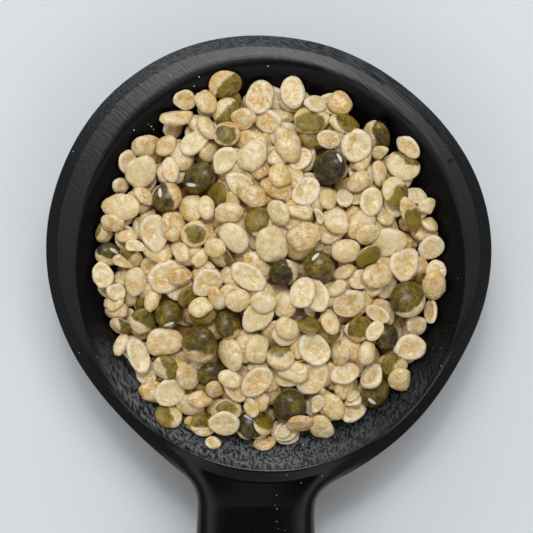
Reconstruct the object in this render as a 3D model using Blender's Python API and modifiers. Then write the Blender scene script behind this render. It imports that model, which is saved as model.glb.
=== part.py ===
"""A small black wooden scoop dish, heaped with split dry lentils.

The dish is one carved piece: a shallow round bowl with a rim, and a flat handle that leaves
it at a narrow neck. The heap is one piece too: a mound with the lentils that show fused on.

Metres, +Z up. The origin is the centre of the bowl's flat foot, and the handle points along -Y.
"""

import math

import bmesh
import bpy
import numpy as np
from mathutils import Euler, Matrix, Vector
from mathutils.bvhtree import BVHTree

# Bowl
DISH_HEIGHT = 0.0180  # foot to rim
BOWL_DEPTH = 0.0118
FOOT_SHARE = 0.52  # the flat foot's radius, as a share of the outline's
# The bowl's edge as carved, not quite round: degrees from +Y, turning towards -X, and radius.
BOWL_EDGE = (
    (0, 0.0357),
    (24, 0.0364),
    (48, 0.0365),
    (72, 0.0362),
    (96, 0.0358),
    (120, 0.0351),
    (142, 0.0356),
    (162, 0.0378),
    (178, 0.0385),
    (194, 0.0379),
    (216, 0.0363),
    (240, 0.0353),
    (264, 0.0360),
    (288, 0.0361),
    (312, 0.0354),
    (336, 0.0353),
)
HANDLE_PLACES = (7, 8, 9)  # the places in BOWL_EDGE that the handle grows from
HANDLE_RINGS = (2, 3, 4)  # the rings of the bowl that it grows from

# The hollow's upper edge is an ellipse, a little off the bowl's centre.
HOLLOW_CENTRE = (0.00045, -0.00186)
HOLLOW_RADII = (0.0315, 0.0328)

RIM_RING = 5  # the ring that is the hollow's edge
RIM_CREASE = 0.70
WORN_RIM_CREASE = 0.30  # where the edge is rounded over most
WORN_TOWARDS = 60  # degrees from +X

# Handle
HANDLE_SHIFT = -0.0020  # the handle sits a little left of the bowl's centre line
# Its cage: distance from the bowl's centre, width and thickness, from the narrow neck to the end.
HANDLE_SECTIONS = (
    (0.0405, 0.0188, 0.0082),
    (0.0470, 0.0195, 0.0085),
    (0.0720, 0.0222, 0.0082),
    (0.0980, 0.0232, 0.0074),
    (0.1050, 0.0150, 0.0066),
)

# Heap
HEAP_CENTRE = (0.0000, -0.0005)
HEAP_RADII = (0.0289, 0.0308)
HEAP_EDGE_HEIGHT = 0.0168
HEAP_TOP_HEIGHT = 0.0220
HEAP_CLEARANCE = 0.0004  # between the heap and the dish
CORE_SHARE = 0.82  # the core's radii, as a share of the heap's
CORE_DROP = 0.0023  # how far the core lies below the heap's surface
CORE_RINGS = (0.30, 0.55, 0.75, 0.88, 1.0)  # shares of the core's radii
CORE_SIDES = 24

# Lentils: flat on one side and domed on the other, or whole
LENTIL_COUNT = 178
LENTIL_LENGTH = 0.0046
LENTIL_SPREAD = 0.0006  # standard deviation of the length
LENTIL_LIMITS = (0.0033, 0.0062)
LENTIL_WIDTH_SHARE = 0.84
WIDTH_SPREAD = 0.04
LENTIL_THICKNESS_SHARE = 0.42
LENTIL_SIDES = 7
SHOULDER = 0.72  # how far out and up a half's middle ring stands, as a share
CORNER_PUSH = 1.05  # corners stand out a little, so that flat faces average to the true size
CORE_BITE = 0.0006  # how far a lentil sinks into the core
LENTIL_BITE = 0.0002  # how far it sinks into another
WHOLE_BITE = 0.0014  # how much further a whole one sinks
WHOLE_ROOM = 0.75  # how much of the two half lengths the others keep from a whole one's place
TILT = 0.35  # standard deviation of a tilt, in radians
STEEPEST = 0.75  # radians
SHIFT = 0.0007  # standard deviation of a try's shift
EDGE_ROOM = 0.8  # how much of its half length a lentil's centre keeps from the heap's edge
ROUNDS = ((16, 1.0), (10, 0.4), (8, 0.16))  # tries in each round, and how far they range
PLACES_TRIED = 50
FLAT_UP_SHARE = 0.45  # of the halves
# Whole lentils, as they lie in the photograph: x, y, length and width.
WHOLE_LENTILS = (
    (-0.0110, 0.0121, 0.0058, 0.0048),
    (0.0100, 0.0140, 0.0061, 0.0055),
    (-0.0262, 0.0005, 0.0044, 0.0042),
    (-0.0163, 0.0090, 0.0050, 0.0045),
    (0.0029, -0.0023, 0.0053, 0.0046),
    (0.0169, -0.0218, 0.0052, 0.0040),
    (-0.0166, -0.0100, 0.0048, 0.0044),
    (0.0189, -0.0132, 0.0042, 0.0039),
    (0.0040, -0.0240, 0.0055, 0.0055),
    (-0.0063, -0.0110, 0.0050, 0.0045),
    (0.0232, -0.0073, 0.0061, 0.0058),
    (-0.0110, -0.0145, 0.0061, 0.0058),
    (0.0171, 0.0197, 0.0058, 0.0048),
    (-0.0032, -0.0281, 0.0046, 0.0040),
)
SEED = 4

# Height map on which the lentils are laid
CELL = 0.00025
REACH = 0.0340


def clear_scene():
    for obj in list(bpy.data.objects):
        bpy.data.objects.remove(obj)


def make_material(name, colour, roughness):
    material = bpy.data.materials.new(name)
    material.use_nodes = True
    shader = material.node_tree.nodes["Principled BSDF"]
    shader.inputs["Base Color"].default_value = (*colour, 1.0)
    shader.inputs["Roughness"].default_value = roughness
    shader.inputs["Metallic"].default_value = 0.0
    return material


def add_object(name, bm, collection, material):
    mesh = bpy.data.meshes.new(name)
    bm.to_mesh(mesh)
    bm.free()
    mesh.materials.append(material)
    obj = bpy.data.objects.new(name, mesh)
    collection.objects.link(obj)
    return obj


def loop_through(points):
    """The control loop whose smooth curve passes through the points."""
    count = len(points)
    weights = (4 * np.eye(count) + np.roll(np.eye(count), 1, 0) + np.roll(np.eye(count), -1, 0)) / 6
    return [Vector(p) for p in np.linalg.solve(weights, np.array(points))]


def edge_points(share):
    """The bowl's outer edge, drawn in towards its centre."""
    return loop_through([
        (-radius * share * math.sin(math.radians(turn)), radius * share * math.cos(math.radians(turn)))
        for turn, radius in BOWL_EDGE
    ])


def ellipse_points(centre, radii, share, turns):
    """Points on an ellipse that is drawn in towards its centre: degrees from +Y, turning towards -X."""
    return [
        (
            centre[0] - radii[0] * share * math.sin(math.radians(turn)),
            centre[1] + radii[1] * share * math.cos(math.radians(turn)),
        )
        for turn in turns
    ]


def hollow_points(share):
    """The hollow's edge, drawn in towards its centre."""
    turns = [turn for turn, _ in BOWL_EDGE]
    return loop_through(ellipse_points(HOLLOW_CENTRE, HOLLOW_RADII, share, turns))


def bowl_rings():
    """(plan points, height) of each ring, from the foot up the outside and down into the hollow."""
    top = DISH_HEIGHT
    floor = DISH_HEIGHT - BOWL_DEPTH
    return (
        (edge_points(FOOT_SHARE), 0.0),
        (edge_points(0.83), top * 0.24),
        (edge_points(0.978), top * 0.58),
        (edge_points(1.001), top * 0.90),
        (edge_points(0.950), top * 0.985),
        (hollow_points(1.0), top * 1.015),
        (hollow_points(0.87), top - BOWL_DEPTH * 0.25),
        (hollow_points(0.55), floor),
    )


def raise_ring(bm, ring, points, height):
    """Extrudes a closed ring of vertices to the next plan and height, and gives the new ring."""
    edges = [bm.edges.get((a, b)) for a, b in zip(ring, ring[1:] + ring[:1])]
    made = bmesh.ops.extrude_edge_only(bm, edges=edges)["geom"]
    fresh = {v for v in made if isinstance(v, bmesh.types.BMVert)}
    new_ring = [next(e.other_vert(v) for e in v.link_edges if e.other_vert(v) in fresh) for v in ring]
    for vert, (x, y) in zip(new_ring, points):
        vert.co = (x, y, height)
    return new_ring


def grow_handle(bm, grid):
    """Extrudes the handle from a 3 by 3 grid of the bowl's side, rows from the underside up."""
    for distance, width, thickness in HANDLE_SECTIONS:
        inside = {v for row in grid for v in row}
        faces = [f for f in bm.faces if set(f.verts) <= inside]
        made = bmesh.ops.extrude_face_region(bm, geom=faces)["geom"]
        fresh = [v for v in made if isinstance(v, bmesh.types.BMVert)]
        grid = [[min(fresh, key=lambda v: (v.co - old.co).length) for old in row] for row in grid]
        bmesh.ops.delete(bm, geom=faces, context="FACES")
        for row, verts in enumerate(grid):
            for column, vert in enumerate(verts):
                height = DISH_HEIGHT - thickness * (2 - row) / 2
                vert.co = (HANDLE_SHIFT + width / 2 * (column - 1), -distance, height)


def make_dish(collection):
    """The carved dish, as a coarse cage that Subdivision Surface rounds."""
    bm = bmesh.new()
    crease = bm.edges.layers.float.new("crease_edge")
    (foot_plan, foot_height), *other_rings = bowl_rings()
    ring = bmesh.ops.create_circle(bm, cap_ends=True, segments=len(BOWL_EDGE), radius=1.0)["verts"]
    for vert, (x, y) in zip(ring, foot_plan):
        vert.co = (x, y, foot_height)
    for edge in bm.edges:
        edge[crease] = 1.0
    rings = [ring]
    for plan, height in other_rings:
        rings.append(raise_ring(bm, rings[-1], plan, height))
    bm.faces.new(rings[-1])
    grow_handle(bm, [[rings[row][place] for place in HANDLE_PLACES] for row in HANDLE_RINGS])
    bmesh.ops.recalc_face_normals(bm, faces=bm.faces[:])
    if bm.calc_volume(signed=True) < 0:
        bmesh.ops.reverse_faces(bm, faces=bm.faces[:])
    rim = rings[RIM_RING]
    for a, b in zip(rim, rim[1:] + rim[:1]):
        worn = 0.5 + 0.5 * math.cos(math.atan2(a.co.y, a.co.x) - math.radians(WORN_TOWARDS))
        bm.edges.get((a, b))[crease] = RIM_CREASE + (WORN_RIM_CREASE - RIM_CREASE) * worn
    dish = add_object("dish", bm, collection, make_material("stained_wood", (0.012, 0.012, 0.013), 0.45))
    rounding = dish.modifiers.new("rounding", "SUBSURF")
    rounding.levels = rounding.render_levels = 2
    dish.data.shade_smooth()
    return dish


def heap_share(x, y):
    """How far out a place is: 0 at the heap's centre, 1 at its edge."""
    return np.hypot((x - HEAP_CENTRE[0]) / HEAP_RADII[0], (y - HEAP_CENTRE[1]) / HEAP_RADII[1])


def heap_surface(x, y):
    """Height of the heap's domed surface."""
    return HEAP_EDGE_HEIGHT + (HEAP_TOP_HEIGHT - HEAP_EDGE_HEIGHT) * (1 - heap_share(x, y) ** 2)


def height_under(tree, x, y):
    """Height of the dish's surface straight below a place."""
    hit = tree.ray_cast(Vector((x, y, 0.1)), Vector((0, 0, -1)))[0]
    return hit.z if hit else 0.0


def make_core(tree, collection, material):
    """The heap's inside: a mound that keeps clear of the hollow."""
    turns = [360 * side / CORE_SIDES for side in range(CORE_SIDES)]
    plans = [ellipse_points(HEAP_CENTRE, HEAP_RADII, share * CORE_SHARE, turns) for share in CORE_RINGS]
    bm = bmesh.new()
    ring = bmesh.ops.create_circle(bm, cap_ends=True, segments=CORE_SIDES, radius=1.0)["verts"]
    floors = [max(height_under(tree, x, y) for x, y in plan) + 2 * HEAP_CLEARANCE for plan in plans]
    for vert, (x, y) in zip(ring, plans[0]):
        vert.co = (x, y, floors[0])
    for plan, floor in zip(plans[1:], floors[1:]):
        ring = raise_ring(bm, ring, plan, floor)
    for plan in plans[::-1]:
        ring = raise_ring(bm, ring, plan, heap_surface(*plan[0]) - CORE_DROP)
    bm.faces.new(ring)
    bmesh.ops.recalc_face_normals(bm, faces=bm.faces[:])
    return add_object("lentil_heap", bm, collection, material)


def make_lentil(size, whole, place, turn, collection, material):
    """A low-sided lentil with these half axes: domed upwards and flat below, or whole."""
    bm = bmesh.new()
    bmesh.ops.create_uvsphere(bm, u_segments=LENTIL_SIDES, v_segments=4 if whole else 3, radius=1.0)
    if not whole:
        for vert in bm.verts:
            around = Vector((vert.co.x, vert.co.y, 0)).normalized()
            if vert.co.z < 0:
                vert.co = around
            elif around.length > 0:
                vert.co = around * SHOULDER + Vector((0, 0, SHOULDER))
    bmesh.ops.scale(bm, verts=bm.verts, vec=[half * CORNER_PUSH for half in size])
    bmesh.ops.transform(bm, verts=bm.verts, matrix=Matrix.Translation(place) @ Matrix(turn).to_4x4())
    return add_object("lentil", bm, collection, material)


def lentil_span(xs, ys, turn, size, whole):
    """Lowest and highest points of a lentil at the origin, over each cell, or nan beside it."""
    to_unit = np.diag(1 / np.array(size)) @ turn.T
    side = to_unit[:, 0, None, None] * xs + to_unit[:, 1, None, None] * ys
    up = to_unit[:, 2]
    square = up @ up
    cross = np.tensordot(up, side, 1)
    with np.errstate(invalid="ignore"):
        root = np.sqrt(cross**2 - square * ((side**2).sum(0) - 1))
    low = (-cross - root) / square
    high = (-cross + root) / square
    if not whole:
        normal = turn[:, 2]
        cut = -(normal[0] * xs + normal[1] * ys) / normal[2]
        if normal[2] > 0:
            low = np.maximum(low, cut)
        else:
            high = np.minimum(high, cut)
        low = np.where(high > low, low, np.nan)
    return low, high


def turn_matrix(angles, flat_up):
    turn = np.array(angles.to_matrix())
    return turn @ np.diag((1, -1, -1)) if flat_up else turn


class Pile:
    """The heap's height map, which each lentil raises as it is laid."""

    def __init__(self, tree):
        steps = np.arange(-REACH, REACH, CELL)
        self.x, self.y = np.meshgrid(steps, steps, indexing="ij")
        flat = zip(self.x.ravel(), self.y.ravel())
        below = np.array([height_under(tree, x, y) for x, y in flat]).reshape(self.x.shape)
        beside = [np.roll(below, shift, (0, 1)) for shift in ((1, 0), (-1, 0), (0, 1), (0, -1))]
        self.hollow = np.maximum.reduce([below, *beside]) + HEAP_CLEARANCE
        core = np.where(
            heap_share(self.x, self.y) < CORE_SHARE,
            heap_surface(self.x, self.y) - CORE_DROP - CORE_BITE,
            0,
        )
        self.rest = np.maximum(self.hollow, core)
        self.surface = heap_surface(self.x, self.y)

    def window(self, x, y, reach):
        """The cells within a square round a place."""
        i = int((x + REACH) / CELL)
        j = int((y + REACH) / CELL)
        n = int(reach / CELL) + 1
        return slice(i - n, i + n + 1), slice(j - n, j + n + 1)

    def room(self, x, y):
        """How far the pile is below the heap's surface at a place."""
        part = self.window(x, y, LENTIL_LENGTH / 5)
        return float((self.surface[part] - self.rest[part]).mean())

    def lie(self, x, y, turn, size, whole):
        """Height at which a lentil comes to rest, with the cells it covers and its span over them."""
        part = self.window(x, y, max(size))
        low, high = lentil_span(self.x[part] - x, self.y[part] - y, turn, size, whole)
        on_pile = float(np.nanmax(self.rest[part] - low)) - WHOLE_BITE * whole
        on_dish = float(np.nanmax(self.hollow[part] - low))
        return max(on_pile, on_dish), part, low, high

    def lay(self, x, y, size, whole, flat_up, rng):
        """Shifts and tilts a lentil until it lies low, and gives its place and turn."""
        best = (DISH_HEIGHT * 2, x, y, Euler((0, 0, 0)))
        for tries, spread in ROUNDS:
            _, home_x, home_y, home = best
            for _ in range(tries):
                try_x, try_y = rng.normal((home_x, home_y), SHIFT * spread)
                if spread == 1.0:
                    angles = Euler((rng.normal(0, TILT), rng.normal(0, TILT), rng.uniform(0, 2 * math.pi)))
                else:
                    angles = Euler(rng.normal(home, TILT * spread))
                angles.x = max(-STEEPEST, min(STEEPEST, angles.x))
                angles.y = max(-STEEPEST, min(STEEPEST, angles.y))
                if heap_share(try_x, try_y) < 1 - EDGE_ROOM * size[0] / HEAP_RADII[0]:
                    height = self.lie(try_x, try_y, turn_matrix(angles, flat_up), size, whole)[0]
                    if height < best[0]:
                        best = (height, try_x, try_y, angles)
        height, x, y, angles = best
        turn = turn_matrix(angles, flat_up)
        height, part, low, high = self.lie(x, y, turn, size, whole)
        top = np.where(np.isnan(low), 0, height + high - LENTIL_BITE)
        self.rest[part] = np.maximum(self.rest[part], top)
        return (x, y, height), turn


def choose_place(pile, reach, rng):
    """The deepest of several places in the heap, clear of where the whole lentils go."""
    places = []
    while len(places) < PLACES_TRIED:
        x, y = rng.uniform(-REACH, REACH, 2)
        clear = all(
            math.hypot(x - whole_x, y - whole_y) > WHOLE_ROOM * (length / 2 + reach)
            for whole_x, whole_y, length, _ in WHOLE_LENTILS
        )
        if clear and heap_share(x, y) < 1 - reach / HEAP_RADII[0]:
            places.append((x, y))
    return max(places, key=lambda place: pile.room(*place))


def lay_lentils(tree, collection, material):
    """Lays the lentils on the core one by one, the largest first and the whole ones last."""
    rng = np.random.default_rng(SEED)
    pile = Pile(tree)
    lengths = np.clip(rng.normal(LENTIL_LENGTH, LENTIL_SPREAD, LENTIL_COUNT), *LENTIL_LIMITS)
    for length in sorted(lengths, reverse=True):
        width = length * LENTIL_WIDTH_SHARE * rng.normal(1, WIDTH_SPREAD)
        size = (length / 2, width / 2, length * LENTIL_THICKNESS_SHARE)
        x, y = choose_place(pile, size[0], rng)
        place, turn = pile.lay(x, y, size, False, rng.random() < FLAT_UP_SHARE, rng)
        make_lentil(size, False, place, turn, collection, material)
    for x, y, length, width in WHOLE_LENTILS:
        size = (length / 2, width / 2, width * LENTIL_THICKNESS_SHARE)
        place, turn = pile.lay(x, y, size, True, False, rng)
        make_lentil(size, True, place, turn, collection, material)


def shells(bm):
    """The sets of vertices that hang together."""
    left = set(bm.verts)
    while left:
        shell = set()
        front = [left.pop()]
        while front:
            vert = front.pop()
            shell.add(vert)
            linked = {edge.other_vert(vert) for edge in vert.link_edges} & left
            left -= linked
            front.extend(linked)
        yield shell


def fuse(heap, lentils):
    """Joins the lentils to the heap as one solid, and keeps only its largest shell."""
    union = heap.modifiers.new("union", "BOOLEAN")
    union.operation = "UNION"
    union.operand_type = "COLLECTION"
    union.collection = lentils
    union.solver = "EXACT"
    graph = bpy.context.evaluated_depsgraph_get()
    bm = bmesh.new()
    bm.from_mesh(heap.evaluated_get(graph).data)
    heap.modifiers.clear()
    for obj in list(lentils.objects):
        bpy.data.objects.remove(obj)
    bpy.data.collections.remove(lentils)
    largest = max(shells(bm), key=len)
    bmesh.ops.delete(bm, geom=[v for v in bm.verts if v not in largest], context="VERTS")
    bm.to_mesh(heap.data)
    bm.free()


def make_heap(dish, collection):
    tree = BVHTree.FromObject(dish, bpy.context.evaluated_depsgraph_get())
    material = make_material("hulled_lentils", (0.58, 0.42, 0.20), 0.6)
    heap = make_core(tree, collection, material)
    lentils = bpy.data.collections.new("lentils")
    bpy.context.scene.collection.children.link(lentils)
    lay_lentils(tree, lentils, material)
    fuse(heap, lentils)


def main():
    clear_scene()
    model = bpy.data.collections.new("dish_of_lentils")
    bpy.context.scene.collection.children.link(model)
    dish = make_dish(model)
    make_heap(dish, model)


main()
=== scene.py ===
import math

import bmesh
import bpy
import numpy as np
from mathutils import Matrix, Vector, noise
from mathutils.bvhtree import BVHTree


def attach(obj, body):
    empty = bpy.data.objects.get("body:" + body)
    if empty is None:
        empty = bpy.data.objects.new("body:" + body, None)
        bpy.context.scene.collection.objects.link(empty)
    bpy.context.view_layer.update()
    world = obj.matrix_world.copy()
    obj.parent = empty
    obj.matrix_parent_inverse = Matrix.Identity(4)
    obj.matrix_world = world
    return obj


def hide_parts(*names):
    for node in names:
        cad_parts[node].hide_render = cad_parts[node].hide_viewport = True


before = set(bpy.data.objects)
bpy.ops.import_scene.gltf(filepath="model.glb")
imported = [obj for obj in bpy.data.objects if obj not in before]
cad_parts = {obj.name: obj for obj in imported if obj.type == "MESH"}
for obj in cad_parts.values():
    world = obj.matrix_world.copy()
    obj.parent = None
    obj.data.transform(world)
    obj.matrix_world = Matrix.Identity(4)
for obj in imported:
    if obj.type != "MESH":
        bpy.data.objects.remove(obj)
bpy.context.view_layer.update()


# The view and the table
# The dish lies on a pale matt table and is seen from straight above with a long lens. The light comes from
# beyond the top of the picture: a high window with one brighter pane, a lower and larger window farther off
# to its left, and the pale room round them.
PIXEL = 0.00016133  # what one pixel of the photograph covers at the rim
PHOTO_PIXELS = 533
ORIGIN_PIXEL = (268, 256)  # the photograph's pixel over the middle of the bowl
CAMERA_DISTANCE = 0.45
SENSOR_MM = 36
RIM_HEIGHT = 0.018


def over(across, down):
    """The place under a pixel of the photograph."""
    return (across - ORIGIN_PIXEL[0]) * PIXEL, (ORIGIN_PIXEL[1] - down) * PIXEL


def colour(hex_value, alpha=1.0):
    """An sRGB hex colour as a linear one."""
    channels = [int(hex_value[i:i + 2], 16) / 255 for i in (0, 2, 4)]
    linear = [c / 12.92 if c <= 0.04045 else ((c + 0.055) / 1.055) ** 2.4 for c in channels]
    return (*linear, alpha)


def add_node(tree, kind, inputs=None, **settings):
    """Adds a node with its settings, and with a value or a link on each input that is named."""
    made = tree.nodes.new(kind)
    for name, value in settings.items():
        setattr(made, name, value)
    for name, value in (inputs or {}).items():
        if isinstance(value, bpy.types.NodeSocket):
            tree.links.new(value, made.inputs[name])
        else:
            made.inputs[name].default_value = value
    return made


def new_material(name):
    """An empty material, its node tree and its shader."""
    material = bpy.data.materials.new(name)
    material.use_nodes = True
    return material, material.node_tree, material.node_tree.nodes["Principled BSDF"]


camera = bpy.data.objects.new("camera", bpy.data.cameras.new("camera"))
camera.location = (*over(PHOTO_PIXELS / 2, PHOTO_PIXELS / 2), RIM_HEIGHT + CAMERA_DISTANCE)
camera.data.sensor_width = SENSOR_MM
camera.data.lens = SENSOR_MM * CAMERA_DISTANCE / (PHOTO_PIXELS * PIXEL)
camera.data.clip_start = 0.01
bpy.context.scene.collection.objects.link(camera)
bpy.context.scene.camera = camera
bpy.context.scene.view_settings.view_transform = "Standard"

TABLE_SIZE = 3.0
bm = bmesh.new()
bmesh.ops.create_grid(bm, x_segments=1, y_segments=1, size=TABLE_SIZE / 2)
table_mesh = bpy.data.meshes.new("table_top")
bm.to_mesh(table_mesh)
bm.free()
table = bpy.data.objects.new("table_top", table_mesh)
bpy.context.scene.collection.objects.link(table)
# Matt painted board: even and pale, with a faint grain 0.5 mm across.
board, tree, shader = new_material("matt_painted_board")
place = add_node(tree, "ShaderNodeTexCoord").outputs["Object"]
grain = add_node(tree, "ShaderNodeTexNoise", {"Vector": place, "Scale": 1 / 0.0005, "Detail": 2.0})
tint = add_node(tree, "ShaderNodeMix", {
    0: grain.outputs["Fac"], 6: colour("DEE2E5"), 7: colour("E5E8EB"),
}, data_type="RGBA")
tree.links.new(tint.outputs[2], shader.inputs["Base Color"])
shader.inputs["Roughness"].default_value = 0.7
table.data.materials.append(board)

WINDOWS = (
    ("high_window", (0.02, 0.70, 1.32), (0.85, 0.42), 8.4),
    ("far_window", (-0.35, 1.30, 0.62), (1.2, 0.9), 5.5),
    ("bright_pane", (-0.04, 0.58, 1.36), (0.11, 0.11), 1.8),
)  # place, width and height in metres, and watts
DAYLIGHT = (0.95, 0.975, 1.0)  # white with a little blue
for name, window_place, (width, height), watts in WINDOWS:
    window_light = bpy.data.lights.new(name, "AREA")
    window_light.shape = "RECTANGLE"
    window_light.size = width
    window_light.size_y = height
    window_light.energy = watts
    window_light.color = DAYLIGHT
    window = bpy.data.objects.new(name, window_light)
    window.location = window_place
    window.rotation_euler = (-Vector(window_place)).to_track_quat("-Z", "Y").to_euler()
    bpy.context.scene.collection.objects.link(window)
# The room is dim low down, palest high up on the near side of the dish, and dark behind the camera.
ROOM_TOP = (0.0, -0.26, 0.966)  # the way to the middle of the dark part
ROOM_BY_RISE = (
    (0.0, 0.20), (0.25, 0.21), (0.42, 0.22), (0.66, 0.30),
    (0.80, 1.08), (0.88, 1.04), (0.96, 0.03), (1.0, 0.02),
)  # sine of the rise, and brightness
room = bpy.data.worlds.new("room")
room.use_nodes = True
tree = room.node_tree
way_out = add_node(tree, "ShaderNodeTexCoord").outputs["Generated"]
rise = add_node(tree, "ShaderNodeVectorMath", {
    0: way_out, 1: ROOM_TOP,
}, operation="DOT_PRODUCT").outputs["Value"]
walls = add_node(tree, "ShaderNodeValToRGB", {"Fac": rise})
for sine, _ in ROOM_BY_RISE[1:-1]:
    walls.color_ramp.elements.new(sine)
for element, (sine, bright) in zip(walls.color_ramp.elements, ROOM_BY_RISE):
    element.position = sine
    element.color = (bright, bright, bright, 1.0)
tree.links.new(walls.outputs["Color"], tree.nodes["Background"].inputs["Color"])
bpy.context.scene.world = room


# The scoop dish
# One piece of close-grained hardwood, stained black. It was turned and carved by hand and then sanded, so
# its outline is a little uneven, its rim is crowned, and fine scratches run over it in several directions.
FOOT_SHARE = 0.52  # the flat foot's radius, as a share of the outline's
BOWL_DEPTH = 0.0118
BOWL_EDGE = (
    (0, 0.0357), (24, 0.0364), (48, 0.0365), (72, 0.0362), (96, 0.0358), (120, 0.0351), (142, 0.0356),
    (162, 0.0378), (178, 0.0385), (194, 0.0379), (216, 0.0363), (240, 0.0353), (264, 0.0360),
    (288, 0.0361), (312, 0.0354), (336, 0.0353),
)  # degrees from +Y, turning towards -X, and radius
HOLLOW_CENTRE = (0.00045, -0.00186)
HOLLOW_RADII = (0.0315, 0.0328)
HANDLE_PLACES = (7, 8, 9)  # the places in BOWL_EDGE that the handle grows from
HANDLE_RINGS = (2, 3, 4)  # the rings of the bowl that it grows from
HANDLE_SHIFT = -0.0020  # the handle sits a little left of the bowl's middle
HANDLE_SECTIONS = (
    (0.0405, 0.0188, 0.0082), (0.0470, 0.0195, 0.0085), (0.0720, 0.0222, 0.0082),
    (0.0980, 0.0232, 0.0074), (0.1050, 0.0150, 0.0066),
)  # distance from the bowl's centre, width and thickness
SIDE_RINGS = (
    (0.83, 0.24), (0.978, 0.58), (1.001, 0.90), (0.950, 0.985),
)  # from the foot up: shares of the outline and of the rim's height
HOLLOW_RINGS = (
    (1.0, RIM_HEIGHT * 1.015), (0.87, RIM_HEIGHT - BOWL_DEPTH * 0.25), (0.55, RIM_HEIGHT - BOWL_DEPTH),
)  # from the rim down: shares of the hollow's edge, and heights
RIM_RING = 5  # the ring that is the hollow's edge
RIM_CREASE = 0.70
WORN_RIM_CREASE = 0.30  # where that edge is rounded over most
WORN_TOWARDS = 60  # degrees from +X
CARVING = 0.00012  # how far the knife and the sanding left the surface uneven
CARVING_SPAN = 0.011
CARVED_FROM = 0.001  # the height that it starts at, as the foot is flat


def loop_through(points):
    """The control loop whose smooth curve passes through the points."""
    count = len(points)
    weights = (4 * np.eye(count) + np.roll(np.eye(count), 1, 0) + np.roll(np.eye(count), -1, 0)) / 6
    return [Vector(p) for p in np.linalg.solve(weights, np.array(points))]


def ellipse_points(centre, radii, share, turns):
    """Points on an ellipse that is drawn in towards its centre: degrees from +Y, turning towards -X."""
    return [
        (
            centre[0] - radii[0] * share * math.sin(math.radians(turn)),
            centre[1] + radii[1] * share * math.cos(math.radians(turn)),
        )
        for turn in turns
    ]


def edge_points(share):
    """The bowl's outer edge, drawn in towards its centre."""
    return loop_through([
        (-radius * share * math.sin(math.radians(turn)), radius * share * math.cos(math.radians(turn)))
        for turn, radius in BOWL_EDGE
    ])


def hollow_points(share):
    """The hollow's edge, drawn in towards its centre."""
    return loop_through(ellipse_points(HOLLOW_CENTRE, HOLLOW_RADII, share, [turn for turn, _ in BOWL_EDGE]))


def raise_ring(bm, ring, points, height):
    """Extrudes a closed ring of vertices to the next plan and height, and gives the new ring."""
    edges = [bm.edges.get(pair) for pair in zip(ring, ring[1:] + ring[:1])]
    made = bmesh.ops.extrude_edge_only(bm, edges=edges)["geom"]
    fresh = {v for v in made if isinstance(v, bmesh.types.BMVert)}
    new_ring = [next(e.other_vert(v) for e in v.link_edges if e.other_vert(v) in fresh) for v in ring]
    for vert, (x, y) in zip(new_ring, points):
        vert.co = (x, y, height)
    return new_ring


def grow_handle(bm, grid):
    """Extrudes the handle from a 3 by 3 grid of the bowl's side, rows from the underside up."""
    for distance, width, thickness in HANDLE_SECTIONS:
        inside = {v for row in grid for v in row}
        faces = [f for f in bm.faces if set(f.verts) <= inside]
        made = bmesh.ops.extrude_face_region(bm, geom=faces)["geom"]
        fresh = [v for v in made if isinstance(v, bmesh.types.BMVert)]
        grid = [[min(fresh, key=lambda v: (v.co - old.co).length) for old in row] for row in grid]
        bmesh.ops.delete(bm, geom=faces, context="FACES")
        for row, verts in enumerate(grid):
            for column, vert in enumerate(verts):
                height = RIM_HEIGHT - thickness * (2 - row) / 2
                vert.co = (HANDLE_SHIFT + width / 2 * (column - 1), -distance, height)


def finished(name, bm, levels=0):
    """A mesh object from a bmesh, subdivided and applied, smooth, and riding on the dish's one body."""
    mesh = bpy.data.meshes.new(name)
    bm.to_mesh(mesh)
    bm.free()
    piece = bpy.data.objects.new(name, mesh)
    bpy.context.scene.collection.objects.link(piece)
    if levels:
        rounding = piece.modifiers.new("rounding", "SUBSURF")
        rounding.levels = rounding.render_levels = levels
        smooth = bpy.data.meshes.new_from_object(piece.evaluated_get(bpy.context.evaluated_depsgraph_get()))
        piece.modifiers.clear()
        piece.data = smooth
        bpy.data.meshes.remove(mesh)
        smooth.name = name
    piece.data.shade_smooth()
    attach(piece, "root")
    return piece


bm = bmesh.new()
crease = bm.edges.layers.float.new("crease_edge")
ring = bmesh.ops.create_circle(bm, cap_ends=True, segments=len(BOWL_EDGE), radius=1.0)["verts"]
for vert, (x, y) in zip(ring, edge_points(FOOT_SHARE)):
    vert.co = (x, y, 0.0)
for edge in bm.edges:
    edge[crease] = 1.0
rings = [ring]
for share, height_share in SIDE_RINGS:
    rings.append(raise_ring(bm, rings[-1], edge_points(share), RIM_HEIGHT * height_share))
for share, height in HOLLOW_RINGS:
    rings.append(raise_ring(bm, rings[-1], hollow_points(share), height))
bm.faces.new(rings[-1])
grow_handle(bm, [[rings[row][turn] for turn in HANDLE_PLACES] for row in HANDLE_RINGS])
bmesh.ops.recalc_face_normals(bm, faces=bm.faces[:])
if bm.calc_volume(signed=True) < 0:
    bmesh.ops.reverse_faces(bm, faces=bm.faces[:])
rim = rings[RIM_RING]
for a, b in zip(rim, rim[1:] + rim[:1]):
    worn = 0.5 + 0.5 * math.cos(math.atan2(a.co.y, a.co.x) - math.radians(WORN_TOWARDS))
    bm.edges.get((a, b))[crease] = RIM_CREASE + (WORN_RIM_CREASE - RIM_CREASE) * worn
dish = finished("scoop_dish", bm, levels=4)
outward = [vert.normal.copy() for vert in dish.data.vertices]
for vert, normal in zip(dish.data.vertices, outward):
    if vert.co.z > CARVED_FROM:
        vert.co += normal * CARVING * noise.noise(vert.co / CARVING_SPAN)

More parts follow.
